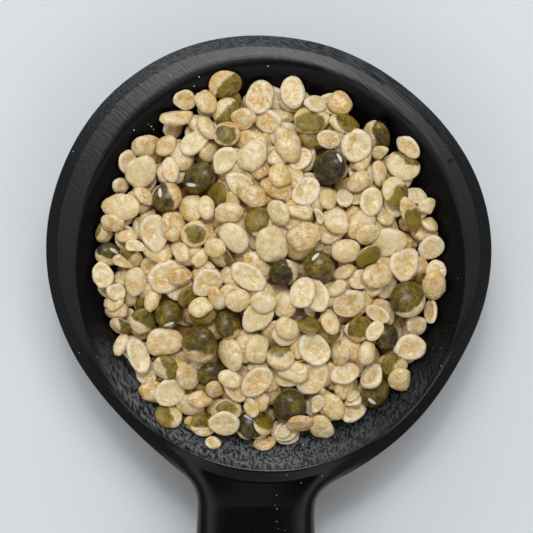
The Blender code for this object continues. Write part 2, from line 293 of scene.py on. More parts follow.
# Black-stained hardwood, sanded: satin, with fine streaks that catch the light along the rim, short upright
# flecks in the hollow by the handle, a smoother hollow and neck, and two open pores. The far rim's streaks
# and the flecks also get a painted grey sheen of the window's light, and the pores get painted shade.
STREAKS = {
    "top": (50, 0.00030, 0.0070, 3.0),
    "right": (30, 0.00030, 0.0070, 3.0),
    "handle": (4, 0.00038, 0.0036, 1.0),
}  # heading in degrees, width, length, and how much finer streaks lie in them
FAR_LIP = (-0.375, 0.927)  # where the hollow's duller finish, without the rim's painted sheen, runs up over its lip
FAR_LIP_FROM = 0.6  # how near to that way it begins, as a cosine
FAR_LIP_RISE = 0.055  # how far it runs up there, as a share of the hollow's radius
PITS = (over(383.5, 83), over(451, 161))
PIT_RADIUS = 0.00035
FLECK_DEPTH = 2.5  # how much deeper the flecks by the handle are than the streaks
wood, tree, shader = new_material("black_stained_hardwood")
place = add_node(tree, "ShaderNodeTexCoord").outputs["Object"]
streaks = {}
for name, (turn, width, length, finer) in STREAKS.items():
    lined = add_node(tree, "ShaderNodeMapping", {
        "Vector": place,
        "Rotation": (0, 0, math.radians(turn)),
        "Scale": (width, length, width),
    }, vector_type="TEXTURE")
    streaks[name] = add_node(tree, "ShaderNodeTexNoise", {
        "Vector": lined.outputs[0], "Scale": 1.0, "Detail": finer, "Roughness": 0.6,
    }).outputs["Fac"]
# From 0 at the side by the handle to 1 on the rest of the dish, and from 0 to 1 on its right-hand side.
apart = add_node(tree, "ShaderNodeSeparateXYZ", {"Vector": place})
upwards = add_node(tree, "ShaderNodeMapRange", {
    "Value": apart.outputs["Y"], "From Min": -0.024, "From Max": -0.010,
}, interpolation_type="SMOOTHSTEP").outputs[0]
rightwards = add_node(tree, "ShaderNodeMapRange", {
    "Value": apart.outputs["X"], "From Min": 0.018, "From Max": 0.030,
}, interpolation_type="SMOOTHSTEP").outputs[0]
across = add_node(tree, "ShaderNodeMix", {0: rightwards, 2: streaks["top"], 3: streaks["right"]}).outputs[0]
streak = add_node(tree, "ShaderNodeMix", {0: upwards, 2: streaks["handle"], 3: across}).outputs[0]
from_hollow = add_node(tree, "ShaderNodeMapping", {
    "Vector": place,
    "Location": (*HOLLOW_CENTRE, 0.0),
    "Scale": (*HOLLOW_RADII, 1.0),
}, vector_type="TEXTURE").outputs[0]
hollow_share = add_node(tree, "ShaderNodeVectorMath", {0: from_hollow}, operation="LENGTH").outputs["Value"]
heading = add_node(tree, "ShaderNodeVectorMath", {0: from_hollow}, operation="NORMALIZE").outputs[0]
towards_lip = add_node(tree, "ShaderNodeVectorMath", {
    0: heading, 1: (*FAR_LIP, 0.0),
}, operation="DOT_PRODUCT").outputs["Value"]
over_lip = add_node(tree, "ShaderNodeMapRange", {
    "Value": towards_lip, "From Min": FAR_LIP_FROM, "From Max": 1.0, "To Max": FAR_LIP_RISE,
}).outputs[0]
hollow_share = add_node(tree, "ShaderNodeMath", {
    0: hollow_share, 1: over_lip,
}, operation="SUBTRACT").outputs[0]
in_hollow = add_node(tree, "ShaderNodeMapRange", {
    "Value": hollow_share, "From Min": 1.005, "From Max": 0.975,
}).outputs[0]
flecked = add_node(tree, "ShaderNodeMath", {0: 1.0, 1: upwards}, operation="SUBTRACT").outputs[0]
fewer = add_node(tree, "ShaderNodeMapRange", {
    "Value": apart.outputs["X"], "From Min": 0.002, "From Max": 0.018, "To Min": 1.0, "To Max": 0.30,
}).outputs[0]
flecked = add_node(tree, "ShaderNodeMath", {0: flecked, 1: fewer}, operation="MULTIPLY").outputs[0]
# From 0, smooth, to 1, brushed: inside the hollow only by the handle, and outside it only on the rim.
brushed = add_node(tree, "ShaderNodeMix", {0: in_hollow, 2: upwards, 3: flecked}).outputs[0]
dust = add_node(tree, "ShaderNodeTexNoise", {
    "Vector": place, "Scale": 1 / 0.006, "Detail": 4.0, "Roughness": 0.6,
}).outputs["Fac"]
speck = add_node(tree, "ShaderNodeTexNoise", {
    "Vector": place, "Scale": 1 / 0.00035, "Detail": 2.0,
}).outputs["Fac"]
uneven = add_node(tree, "ShaderNodeMath", {0: streak, 1: dust}, operation="MULTIPLY").outputs[0]
stain = add_node(tree, "ShaderNodeValToRGB", {"Fac": uneven})
stain.color_ramp.elements[0].position = 0.16
stain.color_ramp.elements[0].color = colour("030304")
stain.color_ramp.elements[1].position = 0.42
stain.color_ramp.elements[1].color = colour("08080A")
# The far side of the rim and the flecks by the handle are greyer. The streaks and flecks are real brushing,
# and their grey is a painted sheen of the window's light, which the far rim and the hollow's wall by the
# handle face.
far_rim_sheen = add_node(tree, "ShaderNodeMapRange", {
    "Value": apart.outputs["Y"], "From Min": 0.012, "From Max": 0.034, "To Max": 0.46,
}, interpolation_type="SMOOTHSTEP").outputs[0]
grey_sheen = add_node(tree, "ShaderNodeMapRange", {
    "Value": streak, "From Min": 0.41, "From Max": 0.60, "To Min": 0.10, "To Max": 1.0,
}).outputs[0]
grey_sheen_share = add_node(tree, "ShaderNodeMix", {0: in_hollow, 2: far_rim_sheen, 3: flecked}).outputs[0]
grey_sheen = add_node(tree, "ShaderNodeMath", {0: grey_sheen, 1: grey_sheen_share}, operation="MULTIPLY").outputs[0]
sheen_greyed = add_node(tree, "ShaderNodeMix", {
    0: grey_sheen, 6: stain.outputs["Color"], 7: colour("66686A"),
}, data_type="RGBA").outputs[2]
pit_depth = 0.0
for x, y in PITS:
    away = add_node(tree, "ShaderNodeVectorMath", {
        0: place, 1: (x, y, RIM_HEIGHT),
    }, operation="DISTANCE").outputs["Value"]
    hole = add_node(tree, "ShaderNodeMapRange", {
        "Value": away, "From Min": PIT_RADIUS * 0.5, "From Max": PIT_RADIUS * 1.3,
        "To Min": 1.0, "To Max": 0.0,
    }).outputs[0]
    pit_depth = add_node(tree, "ShaderNodeMath", {0: pit_depth, 1: hole}, operation="ADD").outputs[0]
# The two pores are painted near black: painted shade in the holes, where the rim's painted sheen doesn't
# reach.
pit_shaded = add_node(tree, "ShaderNodeMix", {
    0: pit_depth, 6: sheen_greyed, 7: colour("020202"),
}, data_type="RGBA")
tree.links.new(pit_shaded.outputs[2], shader.inputs["Base Color"])
satin = add_node(tree, "ShaderNodeMapRange", {
    "Value": streak, "From Min": 0.3, "From Max": 0.7, "To Min": 0.28, "To Max": 0.42,
}).outputs[0]
unbrushed = add_node(tree, "ShaderNodeMix", {0: in_hollow, 2: 0.20, 3: 0.34}).outputs[0]
satin = add_node(tree, "ShaderNodeMix", {0: brushed, 2: unbrushed, 3: satin}).outputs[0]
tree.links.new(satin, shader.inputs["Roughness"])
shader.inputs["Specular IOR Level"].default_value = 0.33
deeper = add_node(tree, "ShaderNodeMath", {
    0: in_hollow, 1: FLECK_DEPTH, 2: 1.0,
}, operation="MULTIPLY_ADD").outputs[0]
brushed = add_node(tree, "ShaderNodeMath", {0: brushed, 1: deeper}, operation="MULTIPLY").outputs[0]
streak_height = add_node(tree, "ShaderNodeMath", {0: streak, 1: brushed}, operation="MULTIPLY").outputs[0]
streak_relief = add_node(tree, "ShaderNodeBump", {
    "Height": streak_height, "Strength": 0.40, "Distance": 0.00010,
}).outputs[0]
pore_relief = add_node(tree, "ShaderNodeBump", {
    "Height": speck, "Strength": 0.20, "Distance": 0.00004, "Normal": streak_relief,
}).outputs[0]
pit_relief = add_node(tree, "ShaderNodeBump", {
    "Height": pit_depth, "Strength": 0.8, "Distance": 0.0003, "Normal": pore_relief,
}, invert=True).outputs[0]
tree.links.new(pit_relief, shader.inputs["Normal"])
# The hollow shines less than the rim, so its faces have a finish of their own. Faces that are lower than its
# bottom belong to the underside, and keep the first.
HOLLOW_SHINE = 0.21
BELOW_BOTTOM = 0.001
hollow_wood = wood.copy()
hollow_wood.name = "black_stained_hardwood_in_hollow"
hollow_wood.node_tree.nodes["Principled BSDF"].inputs["Specular IOR Level"].default_value = HOLLOW_SHINE
dish.data.materials.clear()
dish.data.materials.append(wood)
dish.data.materials.append(hollow_wood)
for face in dish.data.polygons:
    across = (face.center.x - HOLLOW_CENTRE[0]) / HOLLOW_RADII[0]
    along = (face.center.y - HOLLOW_CENTRE[1]) / HOLLOW_RADII[1]
    share = math.hypot(across, along)
    towards_lip = (across * FAR_LIP[0] + along * FAR_LIP[1]) / max(share, 0.001)
    share -= FAR_LIP_RISE * min(max((towards_lip - FAR_LIP_FROM) / (1 - FAR_LIP_FROM), 0), 1)
    if face.center.z > RIM_HEIGHT - BOWL_DEPTH - BELOW_BOTTOM and share < 1.0:
        face.material_index = 1
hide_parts("dish")


# The heap's inside
# The lentils that lie too deep to show, as one mound under the ones that do. It has the brown of the shade
# between lentils, and stays clear of the dish.
HEAP_CENTRE = (0.0, -0.0005)
HEAP_RADII = (0.0289, 0.0308)
HEAP_EDGE_HEIGHT = 0.0168
HEAP_TOP_HEIGHT = 0.0220
CLEARANCE = 0.0008  # between the mound and the dish
INSIDE_SHARE = 0.74  # the mound's radii, as a share of the heap's
INSIDE_DROP = 0.0046  # how far it lies below the heap's surface
INSIDE_RINGS = (0.30, 0.55, 0.75, 0.88, 1.0)  # shares of the mound's radii
INSIDE_SIDES = 32
ABOVE_ALL = 0.1  # a height that the whole dish lies below


def heap_share(x, y):
    """How far out a place is: 0 at the heap's centre, 1 at its edge."""
    return np.hypot((x - HEAP_CENTRE[0]) / HEAP_RADII[0], (y - HEAP_CENTRE[1]) / HEAP_RADII[1])


def heap_surface(x, y):
    """Height of the heap's domed surface."""
    return HEAP_EDGE_HEIGHT + (HEAP_TOP_HEIGHT - HEAP_EDGE_HEIGHT) * (1 - heap_share(x, y) ** 2)


def height_under(x, y):
    """Height of the dish's surface straight below a place."""
    hit = dish_tree.ray_cast(Vector((x, y, ABOVE_ALL)), Vector((0, 0, -1)))[0]
    return hit.z if hit else 0.0


dish_tree = BVHTree.FromObject(dish, bpy.context.evaluated_depsgraph_get())
turns = [360 * side / INSIDE_SIDES for side in range(INSIDE_SIDES)]
plans = [ellipse_points(HEAP_CENTRE, HEAP_RADII, share * INSIDE_SHARE, turns) for share in INSIDE_RINGS]
floors = [max(height_under(x, y) for x, y in plan) + CLEARANCE for plan in plans]
bm = bmesh.new()
ring = bmesh.ops.create_circle(bm, cap_ends=True, segments=INSIDE_SIDES, radius=1.0)["verts"]
for vert, (x, y) in zip(ring, plans[0]):
    vert.co = (x, y, floors[0])
for plan, floor in zip(plans[1:], floors[1:]):
    ring = raise_ring(bm, ring, plan, floor)
for plan in plans[::-1]:
    ring = raise_ring(bm, ring, plan, heap_surface(*plan[0]) - INSIDE_DROP)
bm.faces.new(ring)
bmesh.ops.recalc_face_normals(bm, faces=bm.faces[:])
inside = finished("lentils_inside", bm, levels=1)
# Lentils in deep shade: a warm brown, with the spots of single lentils 4 mm apart.
shade, tree, shader = new_material("lentils_in_shade")
place = add_node(tree, "ShaderNodeTexCoord").outputs["Object"]
single = add_node(tree, "ShaderNodeTexVoronoi", {"Vector": place, "Scale": 1 / 0.004}).outputs["Distance"]
tint = add_node(tree, "ShaderNodeMix", {
    0: single, 6: colour("BC8848"), 7: colour("86581F"),
}, data_type="RGBA")
tree.links.new(tint.outputs[2], shader.inputs["Base Color"])
shader.inputs["Roughness"].default_value = 0.8
inside.data.materials.append(shade)
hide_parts("lentil_heap")


# How the lentils lie
# They were poured in and lie as they fell. Each is set down on the ones below it, where it comes to rest
# lowest: most of the poured ones first, then the ones that the photograph shows plainly, and a last few
# wherever there is still room.
CELL = 0.00025  # of the grid that holds the pile's height
REACH = 0.0340  # that grid's half width
INSIDE_BITE = 0.0006  # how far a lentil may sink into the mound
LENTIL_BITE = 0.00015  # how far it may sink into another
THINNEST = 0.0006
HALF_THICKNESS = 0.14  # of its length, over the thinnest
WHOLE_THICKNESS = 0.35  # half of it, of its width
LENTIL_LENGTH = 0.0050
LENTIL_SPREAD = 0.00075
LENTIL_LIMITS = (0.0030, 0.0064)
LENTIL_WIDTH = 0.77  # of its length
WIDTH_SPREAD = 0.07
TILT = 0.35  # standard deviation of a tilt, in radians
STEEPEST = 0.90  # radians
SHIFT = 0.0009  # standard deviation of a try's shift
PLAIN_SHIFT = 0.0003  # the same for the lentils that the photograph shows plainly
PLAIN_TURN = 0.1  # standard deviation of their heading, in radians
EDGE_ROOM = 0.85  # how much of its half length a lentil's centre keeps from the heap's edge
PLACES_TRIED = 110
ROUNDS = ((28, 1.0), (20, 0.4), (14, 0.15))  # tries in each round, and how far they range
HIGHEST = 0.0229  # a place where a lentil would stand higher is taken last
TOO_HIGH = 20  # how much more height counts beyond that
HALF_WEIGHT = 0.375  # a half's weight lies this share of its thickness over its split face
FULL = -0.0001  # how high over the heap's surface a lentil's weight may come to lie
TURNED_AWAY = 12  # lentils in a row that find no room, when the heap is full
HALF_ROOM = 0.0014  # depth kept free for a half that comes later
WHOLE_ROOM = 0.0026  # the same for a whole one
HALF_ROOM_WIDTH = 0.0012  # how far it is kept free round the half
WHOLE_ROOM_WIDTH = 0.0018
TUCKED_DEPTH = 0.0014  # how far below the heap's surface the pour stops for the tucked ones
SEED = 11
rng = np.random.default_rng(SEED)
steps = np.arange(-REACH, REACH, CELL)
cell_x, cell_y = np.meshgrid(steps, steps, indexing="ij")
below = np.array([height_under(x, y) for x, y in zip(cell_x.ravel(), cell_y.ravel())]).reshape(cell_x.shape)
beside = [np.roll(below, shift, (0, 1)) for shift in ((1, 0), (-1, 0), (0, 1), (0, -1))]
hollow = np.maximum.reduce([below, *beside])
mound = np.where(
    heap_share(cell_x, cell_y) < INSIDE_SHARE,
    heap_surface(cell_x, cell_y) - INSIDE_DROP - INSIDE_BITE,
    0,
)
pile = np.maximum(hollow, mound)
kept_room = np.zeros_like(pile)


def turned(angles, flat_up):
    """Turns as matrices, one for each row of angles about x, y and z, with the split face up or down."""
    cos_x, cos_y, cos_z = np.cos(angles).T
    sin_x, sin_y, sin_z = np.sin(angles).T
    rows = (
        (cos_z * cos_y, cos_z * sin_y * sin_x - sin_z * cos_x, cos_z * sin_y * cos_x + sin_z * sin_x),
        (sin_z * cos_y, sin_z * sin_y * sin_x + cos_z * cos_x, sin_z * sin_y * cos_x - cos_z * sin_x),
        (-sin_y, cos_y * sin_x, cos_y * cos_x),
    )
    turns = np.moveaxis(np.array(rows), 2, 0)
    return turns * (1, -1, -1) if flat_up else turns


def lie(xs, ys, turns, size, whole):
    """Heights at which a lentil rests in several places and turns, and its tops over the cells round it."""
    reach = int(max(size) / CELL) + 2
    i = ((xs + REACH) / CELL).astype(int)
    j = ((ys + REACH) / CELL).astype(int)
    cells = np.arange(-reach, reach + 1)
    beside_x = ((i[:, None] + cells) * CELL - REACH - xs[:, None])[:, :, None]
    beside_y = ((j[:, None] + cells) * CELL - REACH - ys[:, None])[:, None, :]
    near = (i[:, None] + cells)[:, :, None], (j[:, None] + cells)[:, None, :]
    to_unit = turns.transpose(0, 2, 1) / np.array(size)[:, None]
    side = (
        to_unit[:, :, 0, None, None] * beside_x[:, None]
        + to_unit[:, :, 1, None, None] * beside_y[:, None]
    )
    up = to_unit[:, :, 2]
    square = (up**2).sum(1)[:, None, None]
    cross = np.einsum("nk,nkab->nab", up, side)
    with np.errstate(invalid="ignore"):
        root = np.sqrt(cross**2 - square * ((side**2).sum(1) - 1))
        low = (-cross - root) / square
        high = (-cross + root) / square
        if not whole:
            normal = turns[:, :, 2, None, None]
            cut = -(normal[:, 0] * beside_x + normal[:, 1] * beside_y) / normal[:, 2]
            low = np.where(normal[:, 2] > 0, np.maximum(low, cut), low)
            high = np.where(normal[:, 2] > 0, high, np.minimum(high, cut))
            low = np.where(high > low, low, np.nan)
    on_pile = np.nanmax(pile[near] - low, axis=(1, 2)) - LENTIL_BITE
    on_dish = np.nanmax(hollow[near] - low, axis=(1, 2))
    return np.maximum(on_pile, on_dish), high, near


def weights(xs, ys, heights, turns, size, whole):
    """How high a lentil's weight lies over the heap's surface, in each of several places and turns."""
    raised = heights + (0 if whole else HALF_WEIGHT * size[2] * turns[:, 2, 2])
    cells = ((xs + REACH) / CELL).astype(int), ((ys + REACH) / CELL).astype(int)
    return raised - heap_surface(xs, ys) + kept_room[cells]


def lay(size, whole=False, flat_up=False, depth=0.0, spot=None):
    """Tries places and turns, and sets the lentil down where its weight lies lowest. None if it is full."""
    if spot is None:
        turn = rng.uniform(0, 2 * math.pi, PLACES_TRIED)
        out = np.sqrt(rng.uniform(0, 1, PLACES_TRIED)) * (1 - EDGE_ROOM * size[0] / HEAP_RADII[0])
        xs = HEAP_CENTRE[0] + HEAP_RADII[0] * out * np.cos(turn)
        ys = HEAP_CENTRE[1] + HEAP_RADII[1] * out * np.sin(turn)
        angles = rng.normal(0, TILT / 2, (PLACES_TRIED, 3))
        angles[:, 2] = rng.uniform(0, 2 * math.pi, PLACES_TRIED)
        turns = turned(angles, flat_up)
        heights, _, _ = lie(xs, ys, turns, size, whole)
        lying = weights(xs, ys, heights, turns, size, whole)
        first = int(np.argmin(lying))
        best = lying[first], xs[first], ys[first], angles[first]
        reach = SHIFT
    else:
        best = 1.0, spot[0], spot[1], np.array((0.0, 0.0, spot[2]))
        reach = PLAIN_SHIFT
    for tries, spread in ROUNDS:
        _, x, y, home = best
        xs = x + rng.normal(0, reach * spread, tries)
        ys = y + rng.normal(0, reach * spread, tries)
        angles = home + rng.normal(0, TILT * spread, (tries, 3))
        if spot is not None:
            angles[:, 2] = spot[2] + rng.normal(0, PLAIN_TURN, tries)
        angles[:, :2] = np.clip(angles[:, :2], -STEEPEST, STEEPEST)
        turns = turned(angles, flat_up)
        heights, high, _ = lie(xs, ys, turns, size, whole)
        lying = weights(xs, ys, heights, turns, size, whole)
        lying += np.clip(heights + np.nanmax(high, axis=(1, 2)) - HIGHEST, 0, None) * TOO_HIGH
        if spot is None:
            lying += heap_share(xs, ys) > 1 - EDGE_ROOM * size[0] / HEAP_RADII[0]
        lowest = int(np.argmin(lying))
        if lying[lowest] < best[0]:
            best = lying[lowest], xs[lowest], ys[lowest], angles[lowest]
    weight, x, y, angles = best
    if spot is None and weight > FULL - depth:
        return None
    turns = turned(angles[None], flat_up)
    heights, high, near = lie(np.array((x,)), np.array((y,)), turns, size, whole)
    pile[near] = np.fmax(pile[near], heights[:, None, None] + high)
    return np.array((x, y, heights[0])), turns[0], size


def half_size(length, width):
    """Half axes of a split lentil."""
    return length / 2, width / 2, THINNEST + length * HALF_THICKNESS


def whole_size(length, width):
    """Half axes of a whole lentil."""
    return length / 2, width / 2, width * WHOLE_THICKNESS


WHOLE_SHARE = 0.06
WHOLE_SIZE = 0.9  # of a half's
BROKEN_SHARE = 0.08
BROKEN_SIZE = 0.7
FLAT_UP_SHARE = 0.42  # of the halves and the broken ones
halves = []
wholes = []
broken = []


def pour(depth):
    """Lays lentils in the lowest places until the heap is full to this depth below its surface."""
    turned_away = 0
    while turned_away < TURNED_AWAY:
        length = float(np.clip(rng.normal(LENTIL_LENGTH, LENTIL_SPREAD), *LENTIL_LIMITS))
        width = length * rng.normal(LENTIL_WIDTH, WIDTH_SPREAD)
        flat_up = rng.random() < FLAT_UP_SHARE
        draw = rng.random()
        if draw < WHOLE_SHARE:
            kind = wholes
            laid = lay(whole_size(length * WHOLE_SIZE, width * WHOLE_SIZE), whole=True, depth=depth)
        elif draw < WHOLE_SHARE + BROKEN_SHARE:
            kind = broken
            size = half_size(length * BROKEN_SIZE, width * BROKEN_SIZE)
            laid = lay(size, flat_up=flat_up, depth=depth)
        else:
            kind = halves
            laid = lay(half_size(length, width), flat_up=flat_up, depth=depth)
        if laid is None:
            turned_away += 1
        else:
            turned_away = 0
            kind.append(laid)


# The lentils that show plainly: x, y, length and width in millimetres, and the long side's heading in
# degrees.
# Then how much skin there is, from -1 for none to 1 for all, and the side that has it, or None where it lies
# on top. The whole ones have the side of their scar last, or None where it doesn't show.
TUCKED = (
    (-7.7, 9.8, 4.4, 3.8, 20, 1.0, None), (-2.1, 5.2, 4.4, 3.8, 60, 1.0, None),
    (7.3, 18.6, 4.4, 3.9, 0, 1.0, None), (9.4, -11.9, 4.2, 3.6, 40, 1.0, None),
    (25.0, -3.9, 4.0, 3.4, 80, 0.2, 90), (-12.1, -6.9, 4.2, 3.8, 10, 1.0, None),
    (-19.0, -7.6, 4.0, 3.4, 50, 1.0, None), (-5.2, 26.1, 3.5, 3.2, 80, 0.1, -20),
    (-12.4, -27.4, 3.4, 3.0, 0, 0.0, -90), (-11.0, -21.1, 4.2, 3.8, 20, 1.0, None),
)
DARK_WHOLE = (
    (-11.0, 12.1, 5.8, 4.8, 35, 1.0, None, 215), (10.0, 14.0, 6.1, 5.5, 20, 1.0, None, 50),
    (-16.3, 9.0, 5.0, 4.5, 60, 0.1, 200, 140), (8.1, -2.3, 4.8, 4.4, 0, 1.0, None, 110),
    (4.0, -24.0, 5.5, 5.4, 0, 1.0, None, None), (18.9, -13.2, 4.2, 3.9, 40, 1.0, None, None),
    (-3.2, -27.9, 4.6, 4.0, 80, 0.7, 60, 90), (-9.5, -19.2, 4.8, 3.9, 10, 1.0, None, None),
    (-16.6, -9.7, 4.8, 4.4, 80, 0.8, 120, 280), (-6.3, -11.0, 5.0, 4.5, 90, 0.6, 120, None),
    (16.7, -21.7, 5.2, 4.2, 35, 1.0, None, 260), (23.1, -7.4, 6.1, 5.8, 90, 0.25, 120, None),
    (-11.0, -14.5, 6.1, 5.8, 80, 0.25, 80, None), (17.1, 19.7, 6.1, 4.7, 90, 0.05, 0, None),
    (-26.4, 0.5, 4.2, 4.0, 0, 0.1, 60, 20), (2.9, -2.3, 5.3, 4.6, 80, 0.3, 190, None),
)
SKINNED_HALF = (
    (-6.8, 28.3, 5.5, 4.4, 0, -0.1, -30), (-7.3, 22.7, 4.8, 4.5, 0, 0.0, -50),
    (-22.3, -0.5, 4.2, 4.2, 0, 0.0, 140), (-27.0, 4.0, 4.2, 3.2, 60, -0.4, 150),
    (6.6, 21.0, 6.0, 4.8, 10, -0.55, None), (11.8, 20.8, 5.3, 3.7, 0, -0.05, 20),
    (21.5, 14.7, 5.8, 4.5, -30, -0.6, 60), (20.2, 9.8, 5.0, 4.8, 80, -0.2, -40),
    (22.7, 6.9, 6.0, 3.4, -60, -0.1, -60), (14.4, -11.5, 4.8, 4.2, 0, 0.5, 90),
    (6.6, -11.9, 3.9, 3.7, 0, 0.5, 90), (15.8, -0.2, 4.8, 4.6, 0, 0.4, -60),
    (20.2, -17.6, 4.8, 4.4, 0, 0.2, 150), (-22.9, -10.8, 4.2, 3.4, 0, 0.0, 0),
    (-20.2, -10.3, 4.3, 4.2, 90, 0.1, 60), (-16.0, -17.3, 4.4, 4.0, 0, 0.2, 20),
    (-16.3, -26.0, 4.7, 4.5, 0, 0.2, 180), (-10.2, -26.6, 4.5, 4.0, 0, 0.0, 90),
    (1.5, -16.1, 4.6, 4.0, 0, -0.5, 90), (-0.8, -27.3, 4.3, 3.8, 0, -0.1, 60),
    (-10.6, -9.5, 4.1, 3.8, 0, 0.6, None), (-7.6, 0.2, 4.5, 4.0, 0, -0.2, 0),
    (-7.1, 18.9, 4.6, 4.0, 30, -0.62, None), (-11.6, 3.7, 4.6, 4.0, 50, -0.64, None),
    (-6.0, -25.2, 4.4, 3.9, 20, -0.62, None),
)
PLAIN_HALF = (
    (-1.5, 25.8, 5.8, 4.5, 90), (-14.0, 25.3, 3.9, 3.4, 0), (-14.7, 22.3, 5.5, 3.2, 10),
    (-10.3, 24.4, 4.8, 3.9, 90), (-3.5, 22.4, 4.0, 3.9, 0), (-20.0, 17.9, 4.0, 3.5, 0),
    (-23.2, 15.6, 4.0, 3.2, 90), (-20.8, 14.4, 5.8, 5.0, 60), (-24.0, 11.6, 3.2, 2.7, 0),
    (-23.5, 7.9, 6.2, 4.4, 0), (-25.5, 5.6, 4.2, 3.2, 0), (4.0, 26.5, 5.6, 4.0, 90),
    (6.9, 24.7, 3.9, 3.2, 0), (22.9, 17.4, 4.5, 2.9, -30), (23.4, 9.8, 3.2, 2.8, 0),
    (24.7, 7.7, 3.2, 2.9, 0), (26.0, 5.0, 3.5, 3.0, 0), (25.8, 1.1, 4.5, 4.2, 0),
    (27.4, -2.1, 4.0, 3.4, 90), (26.9, -3.9, 5.2, 3.9, 90), (26.0, -9.0, 4.5, 2.6, 80),
    (23.4, -14.7, 5.5, 4.0, 0), (21.6, -19.5, 4.5, 3.9, 0), (9.2, -28.0, 4.5, 4.2, 0),
    (5.6, -26.6, 4.4, 3.8, 0), (-0.3, -30.0, 3.8, 2.8, 10), (-26.7, -3.7, 4.5, 3.4, 90),
    (-25.2, -7.7, 3.5, 3.2, 0), (-24.2, -14.0, 4.0, 2.4, 60), (-21.6, -15.8, 6.1, 3.5, -65),
    (-19.0, -22.2, 4.2, 3.6, 0), (-15.8, -22.3, 4.8, 4.5, 0), (-6.8, -27.1, 5.0, 4.5, 0),
    (-8.5, -29.8, 2.6, 2.3, 0),
)
MM = 0.001
for kept, beyond, lentils in (
    (HALF_ROOM, HALF_ROOM_WIDTH, SKINNED_HALF + PLAIN_HALF),
    (WHOLE_ROOM, WHOLE_ROOM_WIDTH, DARK_WHOLE),
):
    for x, y, length, *_ in lentils:
        near = np.hypot(cell_x - x * MM, cell_y - y * MM) < length * MM / 2 + beyond
        kept_room[near] = np.maximum(kept_room[near], kept)


def lay_plain(lentils, whole=False, flat_up_share=0.0):
    """Lays lentils in the places that the photograph shows."""
    size = whole_size if whole else half_size
    return [
        lay(
            size(length * MM, width * MM), whole, rng.random() < flat_up_share,
            spot=(x * MM, y * MM, math.radians(heading)),
        )
        for x, y, length, width, heading, *_ in lentils
    ]


pour(TUCKED_DEPTH)
skinned = lay_plain(TUCKED)
pour(0.0)
kept_room[:] = 0.0
dark = lay_plain(DARK_WHOLE, whole=True)
skinned += lay_plain(SKINNED_HALF)
halves += lay_plain(PLAIN_HALF, flat_up_share=FLAT_UP_SHARE)
pour(0.0)


# Hulled split lentils
# Each is one half of a seed: a thick disc, domed on the outside, and flat or a little hollow where it split
# off the other half. Hulling leaves the surface matt and chalky, and chips some edges.
HALF_SIDES = 20
HALF_ROWS = 10
RIM_SHARE = (0.28, 0.44)  # the rim's height, of the thickness
RIM_ROUNDNESS = 7
DOME_FULLNESS = 2.3
HOLLOWED = (0.04, 0.38)  # how deep the split face is sunk inside its rim, of the thickness
HOLLOW_EDGE = (0.58, 0.80)  # where that rim starts, of the half width
HOLLOW_SOFTNESS = 0.07  # how wide the slope down from the rim is
SEAM = (-0.10, 0.14)  # how far the seed's middle line stands up or sinks on the split face
SEAM_WIDTH = 0.13
DIMPLED = (-0.05, 0.25)  # how far the dome is sunk in its middle
DIMPLE_WIDTH = 0.45
OUTLINE_WAVES = ((2, 0.035), (3, 0.020), (4, 0.012), (5, 0.008))  # waves round a lentil, and how high
DENT = 0.055
DENT_SIZES = (2.0, 3.5, 5.5, 8.0)  # in waves across a lentil, about
BEND = 0.09  # standard deviation of how far the ends stand up, of the thickness
BEND_LEVEL = 0.4  # how far its middle goes down as its ends go up
CHIPPED_SHARE = 0.20
CHIP_PLACES = (0.65, 0.9)  # where a chip starts, of the half width
BREAK_SLANT = 0.3  # how far a break leans in or out
BROKEN_OFF = 0.9  # of what lay beyond it
SHADE_DEPTH = 0.0045  # lentils this far below the heap's surface get the full painted shade, which makes them more amber
SHADE_AMBER = 0.7


def as_arrays(bm):
    """Points and triangles of a bmesh, which is then done with."""
    bmesh.ops.triangulate(bm, faces=bm.faces[:])
    bm.verts.index_update()
    points = np.array([vert.co for vert in bm.verts])
    faces = np.array([[vert.index for vert in face.verts] for face in bm.faces])
    bm.free()
    return points, faces


def unit_ball(sides, rows):
    """Points and triangles of a ball of radius 1."""
    bm = bmesh.new()
    bmesh.ops.create_uvsphere(bm, u_segments=sides, v_segments=rows, radius=1.0)
    return as_arrays(bm)


def dented(points, depth, waviness=1.0):
    """A shape with an uneven outline and shallow dents of its own."""
    around = np.arctan2(points[:, 1], points[:, 0])
    outline = 1 + sum(
        share * waviness * rng.normal() * np.cos(waves * around + rng.uniform(0, 2 * math.pi))
        for waves, share in OUTLINE_WAVES
    )
    points = points * np.stack([outline, outline, np.ones_like(outline)], axis=1)
    for size in DENT_SIZES:
        waves = rng.normal(0, size, 3)
        lift = depth * 2 / size * np.sin(points @ waves + rng.uniform(0, 2 * math.pi))
        points = points + np.stack([points[:, 0] * lift, points[:, 1] * lift, lift], axis=1)
    return points


def split_shape(ball):
    """The unit ball as a split lentil: sunk below inside a thick round rim, and domed above."""
    out = np.clip(np.hypot(ball[:, 0], ball[:, 1]), 0, 1)
    rim = rng.uniform(*RIM_SHARE)
    sunk = 1 / (1 + np.exp((out - rng.uniform(*HOLLOW_EDGE)) / HOLLOW_SOFTNESS))
    seam = rng.uniform(*SEAM) * np.exp(-((ball[:, 1] / SEAM_WIDTH) ** 2))
    under = rim * (1 - np.sqrt(1 - out**RIM_ROUNDNESS)) + (rng.uniform(*HOLLOWED) + seam) * sunk
    dimple = rng.uniform(*DIMPLED) * np.exp(-((out / DIMPLE_WIDTH) ** 2))
    dome = rim + (1 - rim) * np.sqrt(1 - out**DOME_FULLNESS) - dimple
    bent = rng.normal(0, BEND) * (ball[:, 0] ** 2 - BEND_LEVEL)
    return np.stack([ball[:, 0], ball[:, 1], np.where(ball[:, 2] < 0, under, dome) + bent], axis=1)


def chipped(points, limit):
    """A shape with one side broken off straight, at this share of its half width."""
    turn = rng.uniform(0, 2 * math.pi)
    side = np.array((math.cos(turn), math.sin(turn), rng.uniform(-BREAK_SLANT, BREAK_SLANT)))
    beyond = np.clip(points @ side - limit, 0, None)
    return points - beyond[:, None] * side * BROKEN_OFF


